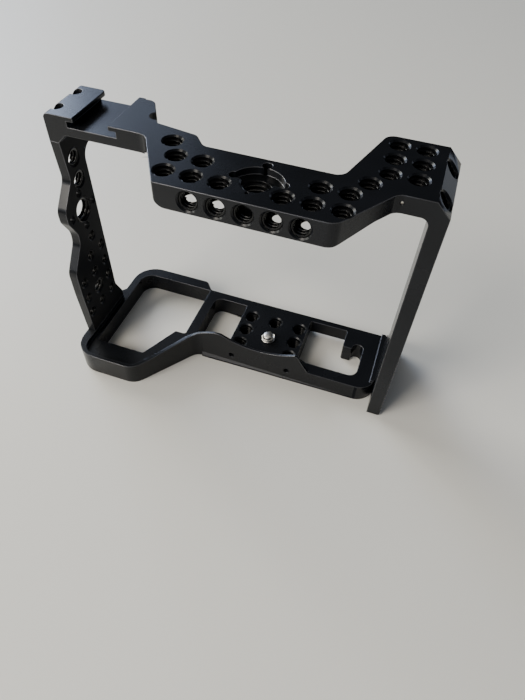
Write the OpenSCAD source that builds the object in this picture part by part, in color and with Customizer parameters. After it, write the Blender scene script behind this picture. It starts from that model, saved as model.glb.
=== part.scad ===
// Camera cage: a top frame with shoe, block and side bar in one piece, a drilled side plate at
// the grip, and a base plate with its captive camera screw.
// +X is the port side, +Y the screen side, -Y the lens side, +Z up. The origin is the middle of
// the footprint, on the surface that the base rests on. All sizes are in millimetres.

/* [Overall] */
// Width over the side plate and the side bar
cage_w = 138.8; // [132:0.2:150]
// Height from the base's underside to the top face
cage_h = 109.8; // [100:0.2:130]
// Depth of the base plate
cage_d = 66; // [62:0.5:74]
// Place of the lens axis across the cage
lens_x = 9.8; // [6:0.2:13]

/* [Screw threads] */
// Nominal diameter of the quarter-inch threads
quarter_d = 6.35; // [6:0.05:6.6]
// Nominal diameter of the three-eighths-inch threads
large_d = 9.525; // [9:0.025:10]
// Nominal diameter of the small accessory threads
small_d = 4; // [3:0.1:4.4]
// Width of the chamfer at the mouth of a quarter-inch thread
quarter_chamfer = 0.55; // [0.2:0.05:0.8]
// Width of the chamfer at the mouth of a small thread
small_chamfer = 0.4; // [0.2:0.05:0.6]
// Diameter of the anti-twist locating holes
locating_d = 3.2; // [2.5:0.1:3.6]

/* [Top bridge] */
// Thickness of the bridge
bridge_t = 8.6; // [7:0.1:11]
// Thickness of the block at the port side
block_t = 6.3; // [5:0.1:8]
// Distance from the base's front to the bridge's front face
bridge_setback = 0.5; // [0:0.1:4]
// Depth of the bridge's middle, front to back
bridge_d = 24.5; // [23:0.1:28]
// Distance from the lens axis to the left end of the bridge's front face
front_left = 26.7; // [25.5:0.1:30]
// Distance from the lens axis to the right end of the bridge's front face
front_right = 29.2; // [28:0.1:31]
// Distance from the bridge's front face to the block's front face
block_setback = 21.2; // [19:0.1:23]
// Depth of the block, front to back
block_d = 33.5; // [31:0.1:37]
// Width of the bevel on the block's outer edge
block_bevel = 4.9; // [4.2:0.1:5.5]
// Pitch of the hole grid
grid_pitch = 9; // [8.6:0.1:9.2]
// Distance from the front face to the first row of holes
row_setback = 7.1; // [6.6:0.1:8]
// Pitch of the front-face holes
front_pitch = 8.75; // [8.6:0.05:9.2]
// Distance of the front-face holes below the top
front_hole_drop = 4.3; // [4:0.1:4.8]

/* [Three-eighths hole] */
// Distance from the lens axis to the large hole
large_hole_shift = 2.4; // [0:0.1:4]
// Distance from the front face to the large hole
large_hole_setback = 11.2; // [10.5:0.1:12]
// Outer radius of the half-ring recess behind it
recess_r = 8.5; // [8:0.1:9.5]
// Depth of the half-ring recess
recess_depth = 2.4; // [0.5:0.1:3]
// Depth of the locating holes below the top
locating_depth = 4.5; // [3.5:0.1:5.5]

/* [Cold shoe] */
// Width of the slot under the shoe's lips
shoe_slot_w = 18.6; // [18.4:0.05:19]
// Height of the slot
shoe_slot_h = 2.1; // [1.9:0.05:2.4]
// Gap between the shoe's lips
shoe_gap_w = 13.3; // [12.5:0.1:14]
// Thickness of the lips
shoe_lip_t = 1.6; // [1.2:0.1:2.2]
// Thickness of the floor under the slot
shoe_floor_t = 3.3; // [2.5:0.1:4.5]
// Width of the outer rail's top
rail_w = 11.6; // [10.5:0.1:13]
// Depth of the shoe, front to back
shoe_d = 22.8; // [21:0.1:25]
// Distance from the bridge's front face to the shoe's front
shoe_setback = 23.6; // [22:0.1:25]

/* [Side plate] */
// Thickness of the side plate and of the leg above it
plate_t = 3.8; // [3.4:0.1:5]
// Height of the leg under the shoe, from the top
leg_drop = 10.3; // [9:0.1:12]
// Width of the plate's narrow part, front to back
plate_d = 24; // [21:0.5:27]
// Height of the plate's small-thread grid pitch
plate_pitch = 8.6; // [8:0.1:9]

/* [Side bar] */
// Thickness of the side bar
bar_t = 5.7; // [5:0.1:7]
// Width of the side bar, front to back
bar_d = 20; // [17:0.5:24]
// Width of the side bar's foot
bar_foot_d = 40.8; // [36:0.2:43]
// Height of the foot before it narrows
bar_foot_h = 9; // [8:0.1:12]

/* [Base plate] */
// Thickness of the base's floor
base_t = 9; // [8:0.1:11]
// Height of the rim round the grip pocket
rim_h = 11.2; // [10.5:0.1:14]
// Height of the relief under the back edge, at the third opening
back_relief = 2.1; // [1:0.1:3]
// Width of the rim at the front
rim_w = 1.7; // [1.2:0.1:2.5]
// Thickness of the front lip
lip_t = 1.2; // [1:0.1:3]
// Radius of the lens clearance in the front lip
lens_r = 40; // [37:0.5:42]
// Height of the lowest point of the lens clearance
lens_low = 14.1; // [13:0.1:16]
// Distance across the pad's holes
pad_pitch_x = 12; // [11:0.1:12.6]
// Distance front to back between the pad's holes
pad_pitch_y = 8.9; // [8.6:0.1:9.2]
// Width of the raised edge at the port end
end_rim_w = 2.2; // [1.6:0.1:3]
// Height of the raised edge above the floor
end_rim_h = 1.2; // [0.6:0.1:2]
// Reach of the sloped foot along the lip's lower edge
foot_reach = 0.7; // [0.4:0.1:1.2]
// Diameter of the two pin holes in the lip's front
pin_d = 2.5; // [2:0.1:2.8]

/* [Camera screw] */
// Diameter of the screw's head
head_d = 12; // [10.5:0.1:13]
// Height of the screw's head
head_h = 3.4; // [2.5:0.1:3.8]
// Distance that the screw rises to clamp the camera
screw_travel = 1.8; // [1:0.1:2]
// Height of the screw's end above the pad when lowered
screw_reach = 3.3; // [2.5:0.1:4]
// Thickness of the nylon washer
washer_t = 0.6; // [0.4:0.1:0.8]
// Gap round the head in its counterbore
head_gap = 0.5; // [0.3:0.05:0.8]

/* [Assembly screws] */
// Diameter of the vertical screws that hold the side plate
plate_screw_d = 2; // [1.6:0.1:2]
// Diameter of their heads
plate_screw_head_d = 3.6; // [3:0.1:3.7]
// Radius of the scalloped recess round each head
scallop_r = 2.3; // [2.2:0.1:2.6]
// Depth of the scalloped recesses in the shoe block
scallop_h = 4.2; // [3:0.1:5]
// Length of thread in the side plate
plate_bite = 4; // [3:0.1:4.5]
// Distance between the two screws at each end of the plate
plate_screw_pitch = 12; // [10:0.1:14]
// Diameter of the screws that hold the side bar
bar_screw_d = 3; // [2.5:0.1:3.5]
// Diameter of their heads
bar_screw_head_d = 5.5; // [5:0.1:6]
// Distance between the two bar screws
bar_screw_pitch = 18; // [14:0.5:22]

/* [Hidden] */
$fn = 48;
arc_step = 9;
over = 1;
joint_gap = 0.02;
// Gap between a screw's shank and its clearance hole, on the diameter
shank_gap = 0.2;
// Gap between a screw and its thread, on the diameter
thread_gap = 0.05;
// Depth of a threaded hole beyond the screw's end
thread_spare = 0.5;
set_screw_d = 1.2;
set_screw_l = 3;
notch_r = 2.6;
rail_round = 2;
rail_corner_r = 1.5;
edge_round = 3;

x_left = -cage_w / 2;
x_right = cage_w / 2;
y_front = -cage_d / 2;
y_back = cage_d / 2;

// Bridge and block
bridge_y = y_front + bridge_setback;
bridge_back = bridge_y + bridge_d;
block_y = bridge_y + block_setback;
block_back = block_y + block_d;
block_bottom = cage_h - block_t;
front_x0 = lens_x - front_left;
front_x1 = lens_x + front_right;
block_x = x_right - 16.4;
bar_x = x_right - bar_t;

// Shoe and leg
shoe_y = bridge_y + shoe_setback;
shoe_back = shoe_y + shoe_d;
gap_x0 = x_left + rail_w;
gap_x1 = gap_x0 + shoe_gap_w;
undercut = (shoe_slot_w - shoe_gap_w) / 2;
shoe_floor = cage_h - shoe_lip_t - shoe_slot_h;
shoe_bottom = shoe_floor - shoe_floor_t;
leg_z = cage_h - leg_drop;
shoe_step_x = gap_x1 + 15;
leg_x = x_left + plate_t;

// Hole grids
row_1 = bridge_y + row_setback;
row_2 = row_1 + grid_pitch;
block_hole_x = x_right - 20.85;
block_hole_y = block_y + 10.1;
large_x = lens_x + large_hole_shift;
large_y = bridge_y + large_hole_setback;
front_hole_z = cage_h - front_hole_drop;

// Side plate
plate_back = shoe_y + plate_d - 11.3;
plate_front = shoe_y - 7.1;
plate_neck = shoe_y + 0.9;
plate_hole_y = shoe_y + 6;
plate_hole_drop = 8.7;
large_drop = 30.1;
plate_large_y = plate_hole_y - 2.5;
ring_r = 7.5;
small_single_y = 4;
small_single_z = 25;
plate_grid_y = shoe_y + 0.9;
plate_grid_z = rim_h + 19.4;
foot_back = shoe_y + 16.6;

// Base
base_right = bar_x - joint_gap;
lip_y = shoe_y + 2.35;
pocket_x = x_left + plate_t;
base_foot_y = block_y + bar_foot_d;
base_back = base_foot_y - 1.5;
pad_x0 = lens_x - 15.5;
pad_x1 = lens_x + 17.2;
pad_x = lens_x + 1.2;
pad_y = lip_y + 15.45;
third_back = lip_y + 31.6;
tongue_x = base_right - 18.4;
end_rim_y = lip_y + 5;
foot_edge_h = 1.1;
foot_slope_h = 2.9;
lip_x = gap_x1 + 24.3;
lens_z = lens_low + lens_r;
left_back = x_left + 2.2;

// Camera screw
screw_x = pad_x;
screw_y = pad_y - 2.3;
web_t = base_t - 0.2 - head_h - screw_travel - washer_t;
neck_r = 2.3;
head_z = 0.2;
washer_z = head_z + head_h;
tapped_r = 2.6;
crest_d = quarter_d - 0.15;
tip_chamfer = 1;
slot_w = 1.6;
slot_depth = 1.4;

// Assembly screws
plate_screw_x = x_left + plate_t / 2;
plate_screw_head_h = 2;
plate_socket = 1.5;
scallop_x = plate_screw_x + scallop_r - plate_screw_head_d / 2 - 0.2;
shoe_screw_y = shoe_y + 5.8;
foot_screw_y = shoe_y - 7.5;
foot_scallop_h = 3;
bar_screw_y = block_y + 14;
bar_screw_z = 3.6;
bar_screw_head_h = 2.8;
bar_socket = 2.5;
bar_seat = 2.4;
bar_bite = 7;

// ---- Outline helpers ----

function unit(v) = v / norm(v);
function turn(a) = a > 180 ? a - 360 : a < -180 ? a + 360 : a;

// Points of the arc that rounds corner b between its neighbours a and c
function corner_arc(a, b, c, r) =
    let (u = unit(a - b), v = unit(c - b), half = acos(u * v) / 2)
    let (centre = b + unit(u + v) * r / sin(half), reach = r / tan(half))
    let (p = b + u * reach - centre, q = b + v * reach - centre)
    let (from = atan2(p.y, p.x), sweep = turn(atan2(q.y, q.x) - from))
    let (steps = max(2, ceil(abs(sweep) / arc_step)))
    [for (i = [0:steps]) centre + r * [cos(from + sweep * i / steps), sin(from + sweep * i / steps)]];

// A polygon's points from its corners, each [x, y, rounding radius]
function rounded(corners) =
    let (n = len(corners))
    [for (i = [0:n - 1])
        let (a = corners[(i + n - 1) % n], b = corners[i], c = corners[(i + 1) % n])
        each b.z > 0 ? corner_arc([a.x, a.y], [b.x, b.y], [c.x, c.y], b.z) : [[b.x, b.y]]];

module outline(corners) {
    polygon(rounded(corners));
}

// Lays a profile drawn in X and Z along Y, from y0 to y1
module along_y(y0, y1) {
    translate([0, y1, 0]) rotate([90, 0, 0]) linear_extrude(y1 - y0) children();
}

// Lays a profile drawn in Y and Z along X, from x0 to x1
module along_x(x0, x1) {
    translate([x0, 0, 0]) rotate([90, 0, 90]) linear_extrude(x1 - x0) children();
}

// The chamfer of a hole's mouth at z = 0
module mouth(d, chamfer) {
    translate([0, 0, -chamfer]) cylinder(d1 = d, d2 = d + 4 * chamfer, h = 2 * chamfer);
}

// A blind hole down from z = 0, with a chamfer at its mouth
module blind_hole(d, depth, chamfer) {
    translate([0, 0, -depth]) cylinder(d = d, h = depth + over);
    mouth(d, chamfer);
}

// A through hole with a chamfer at both of its mouths
module through_hole(d, depth, chamfer) {
    blind_hole(d, depth + over, chamfer);
    translate([0, 0, -depth]) mirror([0, 0, 1]) mouth(d, chamfer);
}

module quarter_hole(depth) {
    through_hole(quarter_d, depth, quarter_chamfer);
}

module small_hole(depth) {
    through_hole(small_d, depth, small_chamfer);
}

// A cap screw with its head's underside at z = 0, its shank down and a hexagonal socket
module cap_screw(d, head_d, head_h, length, socket) {
    difference() {
        union() {
            cylinder(d = head_d, h = head_h);
            translate([0, 0, -length]) cylinder(d = d, h = length + over / 2);
        }
        translate([0, 0, head_h / 2]) cylinder(d = socket / cos(30), h = head_h, $fn = 6);
    }
}

// ---- Top frame ----

// Plan of the bridge, from its front left corner round to the shoe's inner edge
module bridge_plan() {
    outline([
        [front_x0, bridge_y, 1],
        [front_x1, bridge_y, 5],
        [block_x, block_y, 4],
        [x_right, block_y, 0],
        [x_right, block_back, 0],
        [x_right - 25.6, block_back, 4],
        [x_right - 34.1, bridge_back, 4],
        [front_x0 + 6.3, bridge_back, 3],
        [front_x0 + 1.9, bridge_back + 5.3, 3],
        [gap_x1 + 14, bridge_back + 7.7, 1],
        [gap_x1 + 6.5, shoe_back - 0.5, 3.5],
        [gap_x1, shoe_back - 0.5, 0.8],
        [gap_x1, shoe_y, 0.4],
        [gap_x1 + 13.9, shoe_y, 5]
    ]);
}

// Section of the bridge, shoe and block, seen from the front
module bridge_section() {
    outline([
        [x_left, cage_h, rail_round],
        [gap_x0, cage_h, 0.3],
        [gap_x0, cage_h - shoe_lip_t, 0],
        [gap_x0 - undercut, cage_h - shoe_lip_t, 0],
        [gap_x0 - undercut, shoe_floor, 0],
        [gap_x1 + undercut, shoe_floor, 0],
        [gap_x1 + undercut, cage_h - shoe_lip_t, 0],
        [gap_x1, cage_h - shoe_lip_t, 0],
        [gap_x1, cage_h, 0.3],
        [x_right - block_bevel, cage_h, 0],
        [x_right, cage_h - block_bevel, 0],
        [x_right, block_bottom, 0],
        [block_x - 4.8, block_bottom, 4],
        [front_x1, cage_h - bridge_t, 4],
        [shoe_step_x, cage_h - bridge_t, 0],
        [shoe_step_x - (bridge_t - cage_h + shoe_bottom), shoe_bottom, 0],
        [leg_x + leg_drop - (cage_h - shoe_bottom), shoe_bottom, 1],
        [leg_x, leg_z, 0],
        [x_left, leg_z, 0]
    ]);
}

// Section of the side bar and the block's end above it, seen from the front
module bar_section() {
    outline([
        [bar_x, 0, 0],
        [bar_x, block_bottom, 2.8],
        [bar_x - 4, block_bottom, 0],
        [bar_x - 4, cage_h, 0],
        [x_right - block_bevel, cage_h, 0],
        [x_right, cage_h - block_bevel, 0],
        [x_right, 0, 1]
    ]);
}

// Side view of the bar with the block's end above it
module bar_side() {
    outline([
        [block_y, 0, 0],
        [block_y, cage_h, 0],
        [block_back, cage_h, 0],
        [block_back, block_bottom, 2],
        [block_y + bar_d, block_bottom - block_d + bar_d, 6],
        [block_y + bar_d, bar_foot_h + bar_foot_d - bar_d, 6],
        [block_y + bar_foot_d, bar_foot_h, 2],
        [block_y + bar_foot_d, 0, 1]
    ]);
}

// The grid of quarter-inch holes on the top, as [x, y]
top_holes = [
    for (i = [0:2]) [lens_x - 8 - i * grid_pitch, row_1],
    for (i = [1:2]) [lens_x - 8 - i * grid_pitch, row_2],
    [lens_x - 30.7, row_2 + 7.6],
    for (i = [0:2]) [lens_x + 11.6 + i * grid_pitch, row_1],
    for (i = [1:2]) [lens_x + 11.6 + i * grid_pitch, row_2],
    [lens_x + 34, row_2 + 7.6],
    for (i = [0:1], j = [0:2]) [block_hole_x + i * grid_pitch, block_hole_y + j * grid_pitch]
];

// Locating holes round the large thread
locating_holes = [[-7.9, 1.6], [7.9, 1.6], [0, 10]];

// Rounds a corner of a plan or section that lies at the origin, its body towards +X and +Y
module corner_cut(r) {
    difference() {
        translate([-over, -over]) square(r + over);
        translate([r, r]) circle(r);
    }
}

// Rounds the lower edge of the bridge's left slanted side
module slant_edge() {
    run = [front_x0 - gap_x1 - 13.9, bridge_y - shoe_y];
    translate([gap_x1 + 13.9, shoe_y, cage_h - bridge_t]) rotate([0, 0, atan2(run.y, run.x)])
        along_x(-over, norm(run) + 2 * edge_round) corner_cut(edge_round);
}

// The large thread with its half-ring recess and three locating holes
module large_hole() {
    reach = 2 * recess_r;
    translate([large_x, large_y, cage_h]) {
        through_hole(large_d, bridge_t, quarter_chamfer);
        intersection() {
            translate([0, 0, -recess_depth]) cylinder(r = recess_r, h = recess_depth + over);
            translate([-recess_r, 0.3, -reach]) cube([reach, recess_r, 2 * reach]);
        }
        for (p = locating_holes)
            translate([p.x, p.y, -locating_depth]) cylinder(d = locating_d, h = locating_depth + over);
    }
}

module bevel_hole(y) {
    translate([x_right - block_bevel / 2, y, cage_h - block_bevel / 2])
        rotate([0, 45, 0]) through_hole(quarter_d, 5.6, quarter_chamfer);
}

// A plate screw's shank hole, and the scalloped recess above the head's seat at z = 0
module plate_screw_hole(depth) {
    translate([plate_screw_x, 0, -depth]) cylinder(d = plate_screw_d + shank_gap, h = depth + over);
    translate([scallop_x, 0, 0]) cylinder(r = scallop_r, h = depth);
}

module top_frame() {
    color("#2b2b2f") difference() {
        union() {
            intersection() {
                along_y(y_front - over, y_back + over) bridge_section();
                translate([0, 0, leg_z - over]) linear_extrude(cage_h) union() {
                    bridge_plan();
                    translate([x_left, shoe_y]) square([gap_x1 + undercut - x_left, shoe_d]);
                }
            }
            intersection() {
                along_y(y_front - over, y_back + over) bar_section();
                along_x(bar_x - 3, x_right + over) bar_side();
            }
        }
        for (p = top_holes)
            translate([p.x, p.y, cage_h])
                quarter_hole(p.x > block_x - 4.8 ? block_t : bridge_t);
        for (i = [-2:2])
            translate([lens_x + 2 + i * front_pitch, bridge_y, front_hole_z]) rotate([90, 0, 0])
                blind_hole(quarter_d, i == 0 ? row_setback - 3 : row_setback, quarter_chamfer);
        large_hole();
        slant_edge();
        // The rail's inner back corner
        translate([gap_x0, shoe_back, shoe_floor]) rotate([0, 0, 180])
            linear_extrude(bridge_t) corner_cut(rail_corner_r);
        // Small lock-screw hole in front of the large thread
        translate([large_x - 1, large_y - 6.1, cage_h])
            blind_hole(set_screw_d, set_screw_l, 0.1);
        for (y = [block_y + 6, block_y + 24.4]) bevel_hole(y);
        // Notch behind the inner lip of the shoe
        translate([gap_x1 + 11.9, shoe_y + 12.8, shoe_floor]) cylinder(r = notch_r, h = 2 * bridge_t);
        // Set-screw hole in the block's front face
        translate([x_right - 15, block_y, cage_h - 2.7]) rotate([90, 0, 0])
            blind_hole(set_screw_d, 2 * set_screw_l, 0.1);
        for (i = [0:1]) {
            translate([0, shoe_screw_y + i * plate_screw_pitch, cage_h - scallop_h])
                plate_screw_hole(leg_drop);
            translate([bar_x, bar_screw_y + i * bar_screw_pitch, bar_screw_z]) rotate([0, 90, 0]) {
                translate([0, 0, -over]) cylinder(d = bar_screw_d + shank_gap, h = bar_t + 2 * over);
                translate([0, 0, bar_seat]) cylinder(d = bar_screw_head_d + 2 * shank_gap, h = bar_t);
            }
        }
    }
}

// ---- Side plate ----

module plate_side() {
    outline([
        [shoe_y, leg_z, 0],
        [shoe_back - 1, leg_z, 0],
        [shoe_back - 1, leg_z - 7.7, 1],
        [plate_back, leg_z - 7.7, 5.5],
        [plate_back, rim_h + 10.6, 6],
        [foot_back, rim_h + 2.8, 2],
        [foot_back, rim_h, 0],
        [shoe_y - 10, rim_h, 0],
        [shoe_y - 11.3, rim_h + 24, 3],
        [shoe_y - 11.3, rim_h + 35.6, 6],
        [shoe_y - 3.5, leg_z - 42.2, 6],
        [shoe_y - 3.3, leg_z - 37.2, 6],
        [plate_front, leg_z - 30.2, 4],
        [plate_front, leg_z - 25.2, 5],
        [plate_neck, leg_z - 15.7, 5]
    ]);
}

// Small threads of the side plate, as [y, z]
plate_holes = [
    for (i = [-1:1], j = [-1:1]) if (i != 0 || j != 0)
        [plate_grid_y + i * plate_pitch, plate_grid_z + j * plate_pitch],
    for (i = [0:1]) [plate_grid_y + i * plate_pitch, plate_grid_z + 2 * plate_pitch],
    [plate_grid_y + small_single_y, plate_grid_z + small_single_z]
];

module plate_hole(y, z) {
    translate([leg_x, y, z]) rotate([0, 90, 0]) children();
}

module grip_side_plate() {
    thread_h = plate_bite + thread_spare;
    color("#2b2b2f") difference() {
        along_x(x_left, leg_x) plate_side();
        for (p = plate_holes) plate_hole(p.x, p.y) small_hole(plate_t);
        plate_hole(plate_grid_y, plate_grid_z) quarter_hole(plate_t);
        for (j = [0:1]) plate_hole(plate_hole_y, leg_z - plate_hole_drop - j * grid_pitch)
            quarter_hole(plate_t);
        plate_hole(plate_large_y, leg_z - large_drop) {
            through_hole(large_d, plate_t, quarter_chamfer);
            for (a = [0:90:270])
                rotate([0, 0, a]) translate([ring_r, 0, 0]) through_hole(locating_d, plate_t, 0.2);
        }
        for (i = [0:1]) {
            translate([plate_screw_x, shoe_screw_y + i * plate_screw_pitch, leg_z - thread_h])
                cylinder(d = plate_screw_d + thread_gap, h = thread_h + over);
            translate([plate_screw_x, foot_screw_y + i * plate_screw_pitch, rim_h - over])
                cylinder(d = plate_screw_d + thread_gap, h = thread_h + over);
        }
    }
}

// ---- Base plate ----

module base_plan() {
    outline([
        [x_left, y_front, 10],
        [gap_x1 + 5, y_front, 8],
        [lip_x, lip_y, 6],
        [base_right, lip_y, 8],
        [base_right, base_back, 1],
        [gap_x1 + 17.7, base_back, 2],
        [gap_x1 + 13.9, y_back, 3],
        [left_back, y_back, 11],
        [left_back, foot_back + 6, 1],
        [x_left, foot_back + 3.4, 1]
    ]);
}

// Plan of everything inside the rim and the front lip
module inside_plan() {
    outline([
        [pocket_x, y_front + rim_w, 6],
        [gap_x1 + 4.1, y_front + rim_w, 6],
        [lip_x - 1.6, lip_y + lip_t, 8],
        [pad_x1 + 20, lip_y + lip_t, 0],
        [pad_x1 + 20, y_back + over, 0],
        [left_back - over, y_back + over, 0],
        [left_back - over, foot_back + 1, 0],
        [pocket_x, foot_back + 1, 1.4]
    ]);
}

// Height of the rim and the front lip, seen from the front
module rim_section() {
    lens_half = 17.5;
    shoulder = lens_z - sqrt(lens_r * lens_r - lens_half * lens_half);
    polygon([
        [x_left - over, 0],
        [x_left - over, rim_h],
        [gap_x1 + 10, rim_h],
        [lens_x - 31.4, shoulder - 4.3],
        [lens_x - 25.1, shoulder - 1.5],
        [lens_x - 20.5, shoulder],
        for (i = [-10:10])
            [lens_x + lens_r * sin(i * asin(lens_half / lens_r) / 10),
             lens_z - lens_r * cos(i * asin(lens_half / lens_r) / 10)],
        [lens_x + 19, shoulder - 1],
        [lens_x + 24.2, base_t],
        [lens_x + 24.2, 0]
    ]);
}

module battery_opening() {
    outline([
        [x_left + 6, y_front + 11.5, 1],
        [gap_x1 + 4.2, y_front + 11.5, 1],
        [gap_x1 + 12.6, y_front + 29, 1],
        [gap_x1 + 17.5, y_front + 29, 1],
        [gap_x1 + 17.5, y_back - 5.6, 1],
        [x_left + 6, y_back - 5.6, 6]
    ]);
}

module second_opening() {
    outline([
        [gap_x1 + 22.3, lip_y + 6.3, 1],
        [pad_x0, lip_y + 6.3, 1],
        [pad_x0, lip_y + 30.4, 0.6],
        [gap_x1 + 22.3, lip_y + 30.4, 4]
    ]);
}

module third_opening() {
    outline([
        [pad_x1, lip_y + 7.8, 0.8],
        [pad_x1 + 4.7, lip_y + 5.6, 1],
        [base_right - 8.8, lip_y + 5.6, 4],
        [base_right - 8.8, lip_y + 24.8, 2.5],
        [base_right - 13.9, lip_y + 24.8, 2.5],
        [base_right - 13.9, lip_y + 21.4, 0.6],
        [tongue_x, lip_y + 21.4, 1],
        [tongue_x, third_back, 1],
        [pad_x1, third_back, 1]
    ]);
}

// The raised edge at the port end
module end_rim() {
    translate([base_right - end_rim_w, end_rim_y]) square([end_rim_w, base_back - end_rim_y]);
}

// The sloped foot along the lip's lower edge, which fades into the front at the port end
module lip_foot() {
    foot_x = lip_x + 2.7;
    length = base_right - 8 - foot_x;
    translate([foot_x, lip_y, 0]) rotate([0, 0, atan(foot_reach / length)])
        along_x(0, length) polygon([
            [over, 0],
            [-foot_reach, 0],
            [-foot_reach, foot_edge_h],
            [0, foot_slope_h],
            [over, foot_slope_h]
        ]);
}

// The seven threads of the pad, as [x, y]
pad_holes = [
    for (i = [-1:1], j = [-1:1])
        if (j == 1 || i != 0) [pad_x + i * pad_pitch_x, pad_y + j * pad_pitch_y]
];

module base_plate() {
    color("#2b2b2f") difference() {
        union() {
            linear_extrude(base_t) base_plan();
            lip_foot();
            linear_extrude(base_t + end_rim_h) intersection() {
                base_plan();
                end_rim();
            }
            intersection() {
                linear_extrude(2 * rim_h) difference() {
                    base_plan();
                    inside_plan();
                }
                along_y(y_front - over, foot_back + over) rim_section();
            }
        }
        translate([0, 0, -over]) linear_extrude(base_t + 2 * over) {
            battery_opening();
            second_opening();
            third_opening();
        }
        translate([pad_x1, third_back - over, -over])
            cube([tongue_x - pad_x1, base_back - third_back + 2 * over, back_relief + over]);
        for (p = pad_holes)
            translate([p.x, p.y, base_t]) quarter_hole(base_t);
        translate([screw_x, screw_y, -over]) cylinder(r = tapped_r, h = base_t + 2 * over);
        translate([screw_x, screw_y, -over]) cylinder(d = head_d + 2 * head_gap, h = base_t - web_t + over);
        for (x = [lens_x - 12.4, lens_x + 14.35])
            translate([x, lip_y, 6.3]) rotate([90, 0, 0]) blind_hole(pin_d, 3.5, 0.2);
        for (i = [0:1]) {
            translate([0, foot_screw_y + i * plate_screw_pitch, foot_scallop_h]) mirror([0, 0, 1])
                plate_screw_hole(rim_h);
            translate([base_right, bar_screw_y + i * bar_screw_pitch, bar_screw_z]) rotate([0, 90, 0])
                blind_hole(bar_screw_d + thread_gap, bar_bite + thread_spare, 0.1);
        }
    }
}

// ---- Screws ----

module camera_screw() {
    thread_z = base_t + 0.1;
    tip_z = base_t + screw_reach;
    color("#b9bcc0") difference() {
        translate([screw_x, screw_y, 0]) union() {
            translate([0, 0, head_z]) cylinder(d = head_d, h = head_h);
            translate([0, 0, head_z]) cylinder(r = neck_r, h = thread_z - head_z + over);
            translate([0, 0, thread_z]) cylinder(d = crest_d, h = tip_z - thread_z - tip_chamfer);
            translate([0, 0, tip_z - tip_chamfer])
                cylinder(d1 = crest_d, d2 = crest_d - 2 * tip_chamfer, h = tip_chamfer);
        }
        translate([screw_x - head_d, screw_y - slot_w / 2, -over])
            cube([2 * head_d, slot_w, over + head_z + slot_depth]);
    }
}

module screw_washer() {
    color("#e8e6df") translate([screw_x, screw_y, washer_z]) difference() {
        cylinder(d = head_d - 1, h = washer_t);
        translate([0, 0, -over]) cylinder(r = neck_r + 0.05, h = washer_t + 2 * over);
    }
}

module plate_screw(length) {
    cap_screw(plate_screw_d, plate_screw_head_d, plate_screw_head_h, length, plate_socket);
}

module grip_top_screws() {
    color("#1d1d20") for (i = [0:1])
        translate([plate_screw_x, shoe_screw_y + i * plate_screw_pitch, cage_h - scallop_h])
            plate_screw(leg_drop - scallop_h + plate_bite);
}

module grip_base_screws() {
    color("#1d1d20") for (i = [0:1])
        translate([plate_screw_x, foot_screw_y + i * plate_screw_pitch, foot_scallop_h])
            mirror([0, 0, 1]) plate_screw(rim_h - foot_scallop_h + plate_bite);
}

module port_base_screws() {
    color("#1d1d20") for (i = [0:1])
        translate([bar_x + bar_seat, bar_screw_y + i * bar_screw_pitch, bar_screw_z])
            rotate([0, 90, 0])
                cap_screw(bar_screw_d, bar_screw_head_d, bar_screw_head_h, bar_seat + bar_bite, bar_socket);
}

top_frame();
grip_side_plate();
base_plate();
camera_screw();
screw_washer();
grip_top_screws();
grip_base_screws();
port_base_screws();
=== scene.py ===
"""Looks of the camera cage: black anodised plates with threaded holes, and a steel camera screw."""

import math

import bmesh
import bpy
from mathutils import Matrix, Vector


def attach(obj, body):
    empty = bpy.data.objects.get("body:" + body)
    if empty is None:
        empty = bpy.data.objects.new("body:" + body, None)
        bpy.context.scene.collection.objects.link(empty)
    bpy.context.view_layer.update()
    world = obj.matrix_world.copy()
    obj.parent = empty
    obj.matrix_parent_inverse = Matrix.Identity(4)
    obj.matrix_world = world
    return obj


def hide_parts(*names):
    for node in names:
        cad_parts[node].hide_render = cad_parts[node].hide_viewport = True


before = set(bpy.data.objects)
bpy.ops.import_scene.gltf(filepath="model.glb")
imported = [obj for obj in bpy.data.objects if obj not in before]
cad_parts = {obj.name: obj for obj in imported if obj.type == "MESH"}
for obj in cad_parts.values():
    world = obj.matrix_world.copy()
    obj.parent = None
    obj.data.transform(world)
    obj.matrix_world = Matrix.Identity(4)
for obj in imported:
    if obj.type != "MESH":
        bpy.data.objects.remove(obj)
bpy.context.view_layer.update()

# Blender works in metres. Places and sizes on the cage are in millimetres until they meet MM
MM = 0.001
X, Y, Z = Vector((1, 0, 0)), Vector((0, 1, 0)), Vector((0, 0, 1))


# ---- Camera, light and floor ----

CAMERA_PLACE = Vector((56.0, -153.6, 198.9)) * MM
CAMERA_RIGHT = Vector((0.94538, 0.32407, 0.03527))
CAMERA_DOWN = Vector((0.26992, -0.71754, -0.64209))
CAMERA_AHEAD = Vector((-0.18277, 0.61654, -0.76582))
# The sensor in millimetres, the image and the focal length in pixels
SENSOR_HEIGHT = 24
IMAGE_HEIGHT = 700
FOCAL_PIXELS = 533.4
# From here on this part is in metres. Nothing nearer to the camera than this is drawn
CAMERA_NEAR = 0.01

# From the floor's middle to its edges
FLOOR_REACH = 3
# The lights aim at the middle of the cage, this far above the floor
AIM_HEIGHT = 0.05
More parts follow.
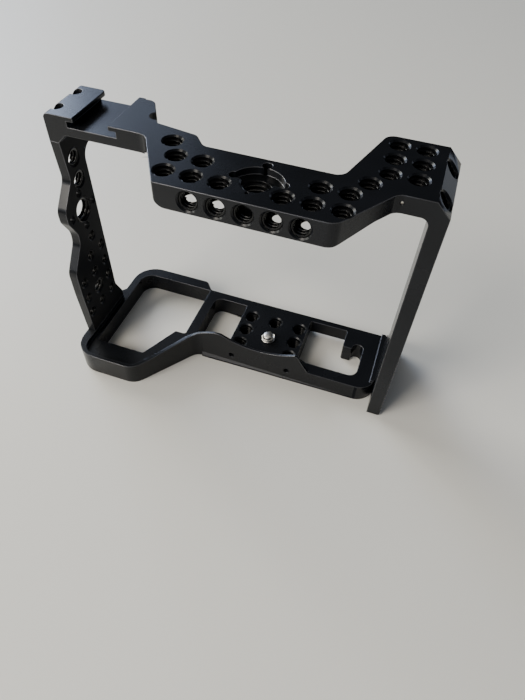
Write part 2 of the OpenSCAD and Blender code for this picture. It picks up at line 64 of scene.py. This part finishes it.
# Each panel's degrees to the left of straight back, degrees up and distance, then its size,
# watts and colour
PANELS = (
    ("window_back", 35, 25, 2.4, (0.7, 0.8), 2.7, "#d0e0ff"),
    ("window_corner", 50, 25, 2.4, (0.8, 0.8), 17, "#d2e2ff"),
    ("window_side", 68, 28, 2.4, (1.0, 1.0), 32, "#fdfbf0"),
    ("window_top", 50, 55, 2.6, (1.4, 1.2), 3, "#ffffff"),
    ("panel_left", 120, 18, 2.6, (1.4, 0.8), 27, "#fffdf2"),
    ("panel_near", 144, 41, 1.2, (0.5, 0.5), 9, "#fff6e8"),
    ("panel_front", 162, 30, 3.0, (3.0, 1.6), 15, "#e2ebff"),
    ("panel_above", 60, 84, 2.2, (1.6, 1.6), 4, "#fffdf6"),
    ("window_right", -30, 7, 2.4, (1.3, 0.6), 2.2, "#dbe8ff"),
    ("panel_right", -80, 20, 2.8, (2.0, 1.4), 3.5, "#dfe9ff"),
)


def linear(code):
    """A linear colour from an sRGB hex value."""
    parts = [int(code[i:i + 2], 16) / 255 for i in (1, 3, 5)]
    return [p / 12.92 if p <= 0.04045 else ((p + 0.055) / 1.055) ** 2.4 for p in parts] + [1]


def node(tree, kind, settings=None, **inputs):
    """Adds a node with its settings, and its inputs as values or as (node, output) links.

    An input is named, or numbered as in i6 where several share a name.
    """
    made = tree.nodes.new(kind)
    for name, value in (settings or {}).items():
        setattr(made, name, value)
    for name, value in inputs.items():
        socket = made.inputs[int(name[1:]) if name[0] == "i" and name[1:].isdigit() else name]
        if isinstance(value, tuple) and isinstance(value[0], bpy.types.Node):
            tree.links.new(value[0].outputs[value[1]], socket)
        else:
            socket.default_value = value
    return made


def new_material(name):
    material = bpy.data.materials.new(name)
    material.use_nodes = True
    material.node_tree.nodes.clear()
    return material, material.node_tree


def make_camera():
    data = bpy.data.cameras.new("camera")
    data.sensor_fit = "VERTICAL"
    data.sensor_height = SENSOR_HEIGHT
    data.lens = FOCAL_PIXELS / IMAGE_HEIGHT * data.sensor_height
    data.clip_start = CAMERA_NEAR
    camera = bpy.data.objects.new("camera", data)
    axes = Matrix((CAMERA_RIGHT, -CAMERA_DOWN, -CAMERA_AHEAD)).transposed()
    camera.matrix_world = Matrix.Translation(CAMERA_PLACE) @ axes.to_4x4()
    bpy.context.scene.collection.objects.link(camera)
    bpy.context.scene.camera = camera


def make_floor():
    """A pale satin table top."""
    bm = bmesh.new()
    bmesh.ops.create_grid(bm, x_segments=1, y_segments=1, size=FLOOR_REACH)
    mesh = bpy.data.meshes.new("floor")
    bm.to_mesh(mesh)
    bm.free()
    floor = bpy.data.objects.new("floor", mesh)
    bpy.context.scene.collection.objects.link(floor)
    material, tree = new_material("pale_table")
    shader = node(tree, "ShaderNodeBsdfPrincipled", Roughness=0.45,
                  **{"Base Color": linear("#f1f0ea")})
    node(tree, "ShaderNodeOutputMaterial", Surface=(shader, 0))
    mesh.materials.append(material)


def make_room():
    """A dim room round the panels.

    Direct view sees a pale backdrop instead, which nothing reflects.
    """
    world = bpy.data.worlds.new("dim_room")
    world.use_nodes = True
    room = world.node_tree
    room.nodes.clear()
    seen = node(room, "ShaderNodeLightPath")
    dim = node(room, "ShaderNodeBackground", Color=linear("#1a1b1e"))
    backdrop = node(room, "ShaderNodeBackground", Color=linear("#c2c1bd"))
    mixed = node(room, "ShaderNodeMixShader", i0=(seen, "Is Camera Ray"), i1=(dim, 0),
                 i2=(backdrop, 0))
    node(room, "ShaderNodeOutputWorld", Surface=(mixed, 0))
    bpy.context.scene.world = world


def make_panel(name, azimuth, elevation, distance, size, watts, colour):
    """A soft rectangular light that faces the cage."""
    turn, rise = math.radians(azimuth), math.radians(elevation)
    level = distance * math.cos(rise)
    place = Vector((-level * math.sin(turn), level * math.cos(turn),
                    AIM_HEIGHT + distance * math.sin(rise)))
    data = bpy.data.lights.new(name, "AREA")
    data.shape = "RECTANGLE"
    data.size, data.size_y = size
    data.energy = watts
    data.color = linear(colour)[:3]
    light = bpy.data.objects.new(name, data)
    light.location = place
    aim = Vector((0, 0, AIM_HEIGHT)) - place
    light.rotation_euler = aim.to_track_quat("-Z", "Y").to_euler()
    bpy.context.scene.collection.objects.link(light)


make_camera()
make_floor()
make_room()
for panel in PANELS:
    make_panel(*panel)


# ---- Materials ----

# Most values of a noise pattern lie between these, so they are what a range is read from
NOISE_LOW, NOISE_HIGH = 0.3, 0.7
# The dye's deepest and palest shares of its colour, and its change in roughness
DEEP_SHADE, PALE_SHADE, DYE_ROUGHNESS = 0.8, 1.2, 0.03
# The change in roughness that tool marks make
MARK_ROUGHNESS = 0.05


def anodised(name, colour, metallic, roughness, grain, gloss=0.5):
    """Black anodised aluminium: a glassy dyed film over metal, blasted to a grain."""
    material, tree = new_material(name)
    place = node(tree, "ShaderNodeTexCoord")
    # Blasting leaves pits of about 0.1 mm, drawn three times as coarse so that they show
    pits = node(tree, "ShaderNodeTexNoise", Vector=(place, "Object"), Scale=1 / (0.3 * MM),
                Detail=3.0)
    bump = node(tree, "ShaderNodeBump", Strength=grain, Distance=0.02 * MM, Height=(pits, 0))
    # The dye takes a little unevenly over a centimetre or two, in depth and in gloss
    cloud = node(tree, "ShaderNodeTexNoise", Vector=(place, "Object"), Scale=1 / (14 * MM),
                 Detail=4.0)
    tone = node(tree, "ShaderNodeMapRange", Value=(cloud, 0), **{
        "From Min": NOISE_LOW, "From Max": NOISE_HIGH,
        "To Min": roughness - DYE_ROUGHNESS, "To Max": roughness + DYE_ROUGHNESS})
    deep, pale = ([share * part for part in linear(colour)[:3]] + [1]
                  for share in (DEEP_SHADE, PALE_SHADE))
    dye = node(tree, "ShaderNodeMix", {"data_type": "RGBA"}, Factor=(cloud, 0), i6=deep, i7=pale)
    shader = node(tree, "ShaderNodeBsdfPrincipled", Roughness=(tone, 0), Normal=(bump, 0),
                  Metallic=metallic, **{"Base Color": (dye, 2), "Specular IOR Level": gloss})
    node(tree, "ShaderNodeOutputMaterial", Surface=(shader, 0))
    return material


def turned_steel(name, colour, roughness):
    """Steel with the fine marks that turning leaves."""
    material, tree = new_material(name)
    place = node(tree, "ShaderNodeTexCoord")
    # Marks of about 0.1 mm
    marks = node(tree, "ShaderNodeTexNoise", Vector=(place, "Object"), Scale=1 / (0.12 * MM),
                 Detail=2.0)
    bump = node(tree, "ShaderNodeBump", Strength=0.15, Distance=0.01 * MM, Height=(marks, 0))
    tone = node(tree, "ShaderNodeMapRange", Value=(marks, 0), **{
        "From Min": NOISE_LOW, "From Max": NOISE_HIGH,
        "To Min": roughness - MARK_ROUGHNESS, "To Max": roughness + MARK_ROUGHNESS})
    shader = node(tree, "ShaderNodeBsdfPrincipled", Roughness=(tone, 0), Normal=(bump, 0),
                  Metallic=1.0, **{"Base Color": linear(colour)})
    node(tree, "ShaderNodeOutputMaterial", Surface=(shader, 0))
    return material


def nylon_plastic(name):
    """Natural nylon, moulded and slightly cloudy."""
    material, tree = new_material(name)
    place = node(tree, "ShaderNodeTexCoord")
    # Clouds of about 2 mm
    cloud = node(tree, "ShaderNodeTexNoise", Vector=(place, "Object"), Scale=1 / (2 * MM),
                 Detail=3.0)
    bump = node(tree, "ShaderNodeBump", Strength=0.1, Distance=0.02 * MM, Height=(cloud, 0))
    tint = node(tree, "ShaderNodeMix", {"data_type": "RGBA"}, Factor=(cloud, 0),
                i6=linear("#dcd8cb"), i7=linear("#e9e6dc"))
    shader = node(tree, "ShaderNodeBsdfPrincipled", Roughness=0.5, Normal=(bump, 0),
                  **{"Base Color": (tint, 2)})
    node(tree, "ShaderNodeOutputMaterial", Surface=(shader, 0))
    return material


# Blasted and dyed: a near black that lifts to a soft blue-grey sheen towards a window
BLASTED = anodised("blasted_black_anodised", "#191b1f", metallic=0.25, roughness=0.26,
                   grain=0.2, gloss=0.28)
# Broken edges in a lighter grey: partly wear where handling has thinned the film to the metal,
# partly painted highlight along each edge
EDGE_WEAR_AND_HIGHLIGHT = anodised("black_anodised_edge_wear_and_painted_highlight", "#56575b", metallic=0.6, roughness=0.24, grain=0.05)
# Wide flat faces with a dry film that hardly shines at any angle; their deeper black is partly
# painted shade
MATT_AND_PAINTED_SHADE = anodised("matt_black_anodised_painted_shade", "#131519", metallic=0.0, roughness=0.36, grain=0.25,
                gloss=0.04)
# Tapped after blasting: smooth flanks with small sharp glints; their near-black colour is painted
# shade inside the holes
THREAD_PAINTED_SHADE = anodised("black_thread_painted_shade", "#0c0d0f", metallic=0.1, roughness=0.2, grain=0.0,
                  gloss=0.3)
# Bright turned stainless steel: a warm white glint
STAINLESS = turned_steel("turned_stainless", "#dcd9d2", roughness=0.33)
# Oxide-black steel: a dark, oily grey
BLACK_OXIDE = turned_steel("black_oxide_steel", "#2a2a2d", roughness=0.36)
# Unfilled nylon: a warm off-white ring
NYLON = nylon_plastic("natural_nylon")

PLATE_FINISHES = [BLASTED, EDGE_WEAR_AND_HIGHLIGHT, THREAD_PAINTED_SHADE, MATT_AND_PAINTED_SHADE]
# Where each finish stands in a plate's list
BODY, WEAR_AND_HIGHLIGHT_SLOT, THREAD_SHADE_SLOT, MATT_AND_SHADE_SLOT = range(4)


# ---- How pieces are made ----

# Closer points than this are one, and shorter edges are none
SAME_POINT, NO_EDGE = 0.001 * MM, 0.002 * MM
FLAT = math.radians(0.2)
# Edges that turn more than SQUARE are broken, and those that turn more than CREASE stay sharp
SQUARE, CREASE = math.radians(55), math.radians(25)
# An edge is broken where both its faces are this many times as wide as the break
ROOM = 2.2
PLATE_BREAK = 0.2 * MM
SCREW_BREAK = 0.12 * MM
WASHER_BREAK = 0.08 * MM


def merged_copy(cad_node):
    """The node's mesh with its seams closed and its flat faces in one piece each."""
    bm = bmesh.new()
    bm.from_mesh(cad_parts[cad_node].data)
    bmesh.ops.remove_doubles(bm, verts=bm.verts, dist=SAME_POINT)
    bmesh.ops.dissolve_degenerate(bm, dist=NO_EDGE, edges=bm.edges)
    bmesh.ops.dissolve_limit(bm, angle_limit=FLAT, verts=bm.verts, edges=bm.edges)
    return bm


def face_width(face, edge):
    """How far a face reaches from one of its edges."""
    start = edge.verts[0].co
    along = (edge.verts[1].co - start).normalized()
    return max(((v.co - start) - along * (v.co - start).dot(along)).length for v in face.verts)


def soften_edges(bm, width):
    """Breaks the square edges, as deburring does, so that they catch the light.

    The mouths of tapped holes have narrow chamfers, so they stay crisp.
    """
    for face in bm.faces:
        face.smooth = True
        face.material_index = BODY
    square = []
    for edge in bm.edges:
        turn = edge.calc_face_angle(0)
        if turn > SQUARE and min(face_width(face, edge) for face in edge.link_faces) > ROOM * width:
            square.append(edge)
        elif turn > CREASE:
            edge.smooth = False
    made = bmesh.ops.bevel(bm, geom=square, offset=width, offset_type="OFFSET", segments=2,
                           profile=0.5, affect="EDGES", clamp_overlap=False, material=-1,
                           loop_slide=True)
    # The broken edges take the lighter grey: edge wear and painted highlight
    for face in made["faces"]:
        face.smooth = True
        face.material_index = WEAR_AND_HIGHLIGHT_SLOT


def join(bm, part):
    """Adds a part's faces to a piece."""
    mesh = bpy.data.meshes.new("part")
    part.to_mesh(mesh)
    part.free()
    bm.from_mesh(mesh)
    bpy.data.meshes.remove(mesh)


def add_piece(name, bm, body, materials, replaces=()):
    """Turns a finished bmesh into a piece that rides on a body."""
    mesh = bpy.data.meshes.new(name)
    bm.to_mesh(mesh)
    bm.free()
    for material in materials:
        mesh.materials.append(material)
    piece = bpy.data.objects.new(name, mesh)
    bpy.context.scene.collection.objects.link(piece)
    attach(piece, body)
    if replaces:
        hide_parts(*replaces)
    normals = piece.modifiers.new("normals", "WEIGHTED_NORMAL")
    normals.keep_sharp = True


# ---- Threads ----

# Radii at the wall and at the crest, pitch, and how far the foot widens at a mouth
QUARTER = (3.225, 2.56, 1.27, 0.1)
THREE_EIGHTHS = (4.81, 3.98, 1.5875, 0.1)
M4 = (2.05, 1.62, 0.7, 0.1)
# The same in the thin side plate, where the thread runs from mouth to mouth
QUARTER_TO_MOUTH = (3.225, 2.49, 1.27, 0.5)
THREE_EIGHTHS_TO_MOUTH = (4.81, 3.9, 1.5875, 0.5)
SCREW_THREAD = (2.6, 3.08, 1.27, 0)

STEPS_PER_TURN = 24
# The ridge's foot and the length over which it runs out, as shares of the pitch
RIDGE, RUN_OUT = 0.84, 0.14
# Where its flat crest starts and ends, and how far it goes on past the end, as shares of the foot
CREST_START, CREST_END, PAST_END = 0.38, 0.62, 0.2
# The share of its height that is left where it runs out, and of a mouth's flare at its crest
LEAST_HEIGHT, CREST_FLARE = 0.05, 0.6
# Depth of the chamfer at a quarter-inch mouth, and of the unthreaded start of a hole
CHAMFER, START = 0.55, 0.6
# A hole's wall is looked for between its mouths, less SKIN, and out to MARGIN past its radius
SKIN, MARGIN = 0.02, 0.5
# The most sides of an end that cutting a ridge away leaves
END_SIDES = 12


def thread_ridge(kind, length, mouths):
    """A helical ridge round Z, trimmed at z = 0 and at length.

    With one mouth or two its ends run out, and its foot widens into each chamfer.
    """
    root, crest, pitch, flare = kind
    width = RIDGE * pitch
    steps = round((length + PAST_END * width) / pitch * STEPS_PER_TURN)
    bm = bmesh.new()
    section = [(root, -width), (root, 0),
               (crest, -CREST_START * width), (crest, -CREST_END * width)]
    corners = [bm.verts.new((r * MM, 0, z * MM)) for r, z in section]
    face = bm.faces.new(corners)
    bmesh.ops.spin(bm, geom=[face] + face.edges[:] + corners, cent=(0, 0, 0), axis=Z,
                   dvec=(0, 0, pitch * MM / STEPS_PER_TURN), steps=steps,
                   angle=math.tau * steps / STEPS_PER_TURN, use_merge=False)
    bm.verts.index_update()
    for vert in bm.verts:
        step, corner = divmod(vert.index, len(section))
        middle = pitch * step / STEPS_PER_TURN - width / 2
        height = max(0, min(length, vert.co.z / MM))
        ends = [max(0, middle), max(0, length - middle)] if mouths else []
        fade = min([1] + [end / (RUN_OUT * pitch) for end in ends])
        near = [height, length - height][:mouths]
        foot = root + max([0] + [flare - z for z in near])
        tip = crest + max([0] + [CREST_FLARE * flare - z for z in near])
        at_foot = section[corner][0] == root
        radius = foot if at_foot else foot + (tip - foot) * max(LEAST_HEIGHT, fade)
        vert.co.xy *= radius * MM / vert.co.xy.length
        vert.co.z = height * MM
    bmesh.ops.recalc_face_normals(bm, faces=bm.faces)
    # The ridge takes the near-black thread colour, painted shade in the hole
    for face in bm.faces:
        face.smooth = True
        face.material_index = THREAD_SHADE_SLOT
    return bm


def cut_away(bm, gone):
    """Removes the faces whose middles are in an open space, and closes the ends that they leave."""
    faces = [face for face in bm.faces if gone(face.calc_center_median() / MM)]
    if faces:
        bmesh.ops.delete(bm, geom=faces, context="FACES")
        rim = [edge for edge in bm.edges if edge.is_boundary]
        bmesh.ops.holes_fill(bm, edges=rim, sides=END_SIDES)
        bmesh.ops.recalc_face_normals(bm, faces=bm.faces)


def finish_hole(bm, kind, mouth, inward, depth):
    """Gives a hole's wall below the chamfer the thread's near-black colour, painted shade inside
    the hole.
    """
    for face in bm.faces:
        offset = face.calc_center_median() / MM - mouth
        below = offset.dot(inward)
        out = (offset - inward * below).length
        if SKIN < below < depth - SKIN and out < kind[0] + MARGIN:
            face.material_index = BODY if below < CHAMFER else THREAD_SHADE_SLOT


def add_threads(bm, kind, mouths, inward, depth, start=START, open_ends=1, phase=0, gone=None):
    """Threads holes of one kind, given the places of their mouths and the way in.

    The thread starts below the mouth, and ends as far above the other where both ends are open.
    Phase turns it by degrees, and gone says which places lie in another hole.
    """
    turn = (inward.to_track_quat("Z", "Y").to_matrix().to_4x4()
            @ Matrix.Rotation(math.radians(phase), 4, "Z"))
    for mouth in mouths:
        finish_hole(bm, kind, Vector(mouth), inward, depth)
        ridge = thread_ridge(kind, depth - open_ends * start, open_ends)
        place = Matrix.Translation((Vector(mouth) + inward * start) * MM) @ turn
        bmesh.ops.transform(ridge, verts=ridge.verts, matrix=place)
        if gone:
            cut_away(ridge, gone)
        join(bm, ridge)


# ---- Top frame ----

TOP = 109.8
GRID = 9
# The rows of holes in the top, from the front face back
ROW_1, ROW_2, ROW_3 = -25.4, -16.4, -8.8
LARGE_X, LARGE_Y = 12.2, -21.3
# Where the half-ring recess behind the large hole starts, and its floor
RECESS_Y, RECESS_FLOOR = LARGE_Y + 0.3, 107.4
FRONT_Y, FRONT_Z = -32.5, 105.5
FRONT_X = [-5.7 + i * 8.75 for i in range(5)]
# How far back the front holes reach, and the radius that they leave open
FRONT_REACH, FRONT_OPEN = -26, 3.1
BEVEL_X, BEVEL_Z = 66.95, 107.35
BEVEL_WAY_IN = -(X + Z).normalized()
# Depths of the holes in the bridge, its end, its crank and the block
BRIDGE_DEPTH, END_DEPTH, CRANK_DEPTH, BLOCK_DEPTH = 8.6, 8.2, 7, 6.3
# And in the front face, with its shorter start, and in the block's bevel
FRONT_DEPTH, FRONT_START, BEVEL_DEPTH = 4.6, 0.45, 5.4


def in_front_hole(p):
    """Whether a point lies in one of the holes of the bridge's front face."""
    return p.y < FRONT_REACH and any(
        math.hypot(p.x - x, p.z - FRONT_Z) < FRONT_OPEN for x in FRONT_X)


def in_recess(p):
    """Whether a point lies in the recess."""
    return p.z > RECESS_FLOOR and p.y > RECESS_Y


def top_frame():
    """The bridge with its shoe, block and side bar, and a thread in each tapped hole."""
    bm = merged_copy("top_frame")
    soften_edges(bm, PLATE_BREAK)
    front_row = [(1.8 - GRID * i, ROW_1, TOP) for i in range(3)]
    front_row += [(21.4 + GRID * i, ROW_1, TOP) for i in range(2)]
    back_row = [(x, ROW_2, TOP) for x in (-7.2, -16.2, 30.4)] + [(-20.9, ROW_3, TOP)]
    block = [(48.55 + GRID * i, -1.2 + GRID * j, TOP) for i in range(2) for j in range(3)]
    add_threads(bm, QUARTER, front_row, -Z, BRIDGE_DEPTH, gone=in_front_hole)
    add_threads(bm, QUARTER, back_row, -Z, BRIDGE_DEPTH)
    add_threads(bm, QUARTER, [(39.4, ROW_1, TOP), (39.4, ROW_2, TOP)], -Z, END_DEPTH)
    add_threads(bm, QUARTER, [(43.8, ROW_3, TOP)], -Z, CRANK_DEPTH)
    add_threads(bm, QUARTER, block, -Z, BLOCK_DEPTH)
    large = [(LARGE_X, LARGE_Y, TOP)]
    add_threads(bm, THREE_EIGHTHS, large, -Z, BRIDGE_DEPTH, gone=in_recess)
    front_face = [(x, FRONT_Y, FRONT_Z) for x in FRONT_X]
    add_threads(bm, QUARTER, front_face, Y, FRONT_DEPTH, FRONT_START)
    bevel = [(BEVEL_X, y, BEVEL_Z) for y in (-5.3, 13.1)]
    add_threads(bm, QUARTER, bevel, BEVEL_WAY_IN, BEVEL_DEPTH)
    add_piece("top_frame_dressed", bm, "cage", PLATE_FINISHES[:MATT_AND_SHADE_SLOT],
              ["top_frame"])


SET_SCREW_PLACE = Vector((54.4, -10.1, 107.1))
SET_SCREW_R, SET_SCREW_L = 0.54, 2
SET_SCREW_SIDES, SET_SCREW_CREASE = 24, math.radians(40)
# The broken edge round its end, and the socket's wall and depth
RIM_BREAK, SOCKET_WALL, SOCKET_DEPTH = 0.12, 0.14, 0.4


def small_set_screw():
    """A headless screw just inside the small hole over the side bar, with a socket in its end."""
    bm = bmesh.new()
    bmesh.ops.create_cone(bm, cap_ends=True, segments=SET_SCREW_SIDES,
                          radius1=SET_SCREW_R * MM, radius2=SET_SCREW_R * MM,
                          depth=SET_SCREW_L * MM)
    cap = max(bm.faces, key=lambda face: face.calc_center_median().z)
    bmesh.ops.bevel(bm, geom=cap.edges[:], offset=RIM_BREAK * MM, offset_type="OFFSET",
                    segments=2, profile=0.5, affect="EDGES", material=-1)
    cap = max(bm.faces, key=lambda face: face.calc_center_median().z)
    bmesh.ops.inset_individual(bm, faces=[cap], thickness=SOCKET_WALL * MM)
    bmesh.ops.translate(bm, verts=cap.verts[:], vec=-Z * SOCKET_DEPTH * MM)
    for face in bm.faces:
        face.smooth = True
    for edge in bm.edges:
        edge.smooth = edge.calc_face_angle(0) < SET_SCREW_CREASE
    place = Matrix.Translation(SET_SCREW_PLACE * MM) @ Matrix.Rotation(math.radians(90), 4, "X")
    bmesh.ops.transform(bm, verts=bm.verts, matrix=place)
    add_piece("small_set_screw", bm, "cage", [STAINLESS])


# ---- Side plate ----

PLATE_X = -65.6
PLATE_T = 3.8
# The grid of small holes round a quarter-inch one, and its pitch
GRID_Y, GRID_Z, SMALL_PITCH = -8.0, 30.6, 8.6
# The two quarter-inch holes near the top
UPPER_Y = -2.9
# How far below their mouths the large and the small threads start
AT_MOUTH, SMALL_START = 0.05, 0.35
# Degrees that turn a crest into the line of sight through the plate
QUARTER_PHASE, LARGE_PHASE = 205, 130
# A face whose normal has this much of an axis lies flat across it
ACROSS = 0.99


def side_plate():
    """The waisted plate at the grip, with threads that run from mouth to mouth."""
    bm = merged_copy("grip_side_plate")
    soften_edges(bm, PLATE_BREAK)
    # The wide faces take the matt black, partly painted shade
    for face in bm.faces:
        if abs(face.normal.x) > ACROSS:
            face.material_index = MATT_AND_SHADE_SLOT
    quarters = [(PLATE_X, GRID_Y, GRID_Z), (PLATE_X, UPPER_Y, 90.8), (PLATE_X, UPPER_Y, 81.8)]
    smalls = [(PLATE_X, GRID_Y + SMALL_PITCH * i, GRID_Z + SMALL_PITCH * j)
              for i in (-1, 0, 1) for j in (-1, 0, 1) if (i, j) != (0, 0)]
    smalls += [(PLATE_X, -8.0, 47.8), (PLATE_X, 0.6, 47.8), (PLATE_X, -4.0, 55.6)]
    large = [(PLATE_X, -5.4, 69.4)]
    add_threads(bm, QUARTER_TO_MOUTH, quarters, -X, PLATE_T, AT_MOUTH, open_ends=2,
                phase=QUARTER_PHASE)
    add_threads(bm, M4, smalls, -X, PLATE_T, SMALL_START, open_ends=2)
    add_threads(bm, THREE_EIGHTHS_TO_MOUTH, large, -X, PLATE_T, AT_MOUTH, open_ends=2,
                phase=LARGE_PHASE)
    add_piece("side_plate_dressed", bm, "cage", PLATE_FINISHES,
              ["grip_side_plate"])


# ---- Base plate ----

BASE_T = 9
PAD_X, PAD_Y = 11.0, 8.9
PAD_PITCH_X, PAD_PITCH_Y = 12, 8.9
# The lip's foot: a slope in the lighter edge grey as painted highlight, over an edge in the matt
# black as painted shade, in front of FOOT_Y
FOOT_Y, FOOT_LEFT, FOOT_TOP = -6.5, -18, 4.2
# Its faces lean at least this much to the front, and the slope also this much up
LEAN_FRONT, LEAN_UP = 0.85, 0.1


def base_plate():
    """The slotted base with the pad's ring of holes, and the lip's foot in two tones: painted
    highlight on its slope and painted shade on its edge.
    """
    bm = merged_copy("base_plate")
    soften_edges(bm, PLATE_BREAK)
    for face in bm.faces:
        middle, way = face.calc_center_median() / MM, face.normal
        on_foot = middle.y < FOOT_Y and middle.x > FOOT_LEFT and middle.z < FOOT_TOP
        # Up-facing faces of the foot are lightened as painted highlight, front-facing ones darkened
        # as painted shade
        if on_foot and way.y < -LEAN_FRONT:
            face.material_index = WEAR_AND_HIGHLIGHT_SLOT if way.z > LEAN_UP else MATT_AND_SHADE_SLOT
    pad = [(PAD_X + PAD_PITCH_X * i, PAD_Y + PAD_PITCH_Y * j, BASE_T)
           for i in (-1, 0, 1) for j in (-1, 0, 1) if j == 1 or i != 0]
    add_threads(bm, QUARTER, pad, -Z, BASE_T, open_ends=2)
    add_piece("base_plate_dressed", bm, "cage", PLATE_FINISHES, ["base_plate"])


# ---- Camera screw, washer and assembly screws ----

SCREW_X, SCREW_Y = 11.0, 6.6
# Where the turned end starts, and its radii and heights from there to the tip
END_Z = 9.0
END_PROFILE = [(0, END_Z), (2.62, END_Z), (2.62, 11.35), (2.05, 11.95), (1.9, 12.05), (1, 12.24),
               (0, 12.3)]
END_SEGMENTS = 48
THREAD_Z, THREAD_L = 9.05, 2.5


def screw_end():
    """The screw's turned and threaded end, with a rounded tip."""
    end = bmesh.new()
    corners = [end.verts.new((r * MM, 0, z * MM)) for r, z in END_PROFILE]
    rims = [end.edges.new(pair) for pair in zip(corners, corners[1:])]
    bmesh.ops.spin(end, geom=corners + rims, cent=(0, 0, 0), axis=Z, steps=END_SEGMENTS,
                   angle=math.tau, use_merge=True)
    bmesh.ops.remove_doubles(end, verts=end.verts, dist=SAME_POINT)
    bmesh.ops.recalc_face_normals(end, faces=end.faces)
    ridge = thread_ridge(SCREW_THREAD, THREAD_L, 0)
    bmesh.ops.transform(ridge, verts=ridge.verts, matrix=Matrix.Translation(Z * THREAD_Z * MM))
    join(end, ridge)
    for face in end.faces:
        face.smooth = True
    place = Matrix.Translation(Vector((SCREW_X, SCREW_Y, 0)) * MM)
    bmesh.ops.transform(end, verts=end.verts, matrix=place)
    return end


def camera_screw():
    """The screw's own head and neck, cut off where the turned end takes over."""
    bm = merged_copy("camera_screw")
    cut = bmesh.ops.bisect_plane(bm, geom=bm.verts[:] + bm.edges[:] + bm.faces[:], plane_no=Z,
                                 plane_co=(0, 0, END_Z * MM), clear_outer=True)
    rim = [part for part in cut["geom_cut"] if isinstance(part, bmesh.types.BMEdge)]
    bmesh.ops.holes_fill(bm, edges=rim)
    soften_edges(bm, SCREW_BREAK)
    join(bm, screw_end())
    for face in bm.faces:
        face.material_index = BODY
    add_piece("camera_screw_threaded", bm, "screw", [STAINLESS], ["camera_screw"])


def small_part(cad_node, body, material, width):
    """A CAD node as it is, with broken edges and one finish."""
    bm = merged_copy(cad_node)
    soften_edges(bm, width)
    for face in bm.faces:
        face.material_index = BODY
    add_piece(cad_node + "_dressed", bm, body, [material], [cad_node])


top_frame()
small_set_screw()
side_plate()
base_plate()
camera_screw()
small_part("screw_washer", "washer", NYLON, WASHER_BREAK)
for group in ("grip_top_screws", "grip_base_screws", "port_base_screws"):
    small_part(group, "cage", BLACK_OXIDE, SCREW_BREAK)
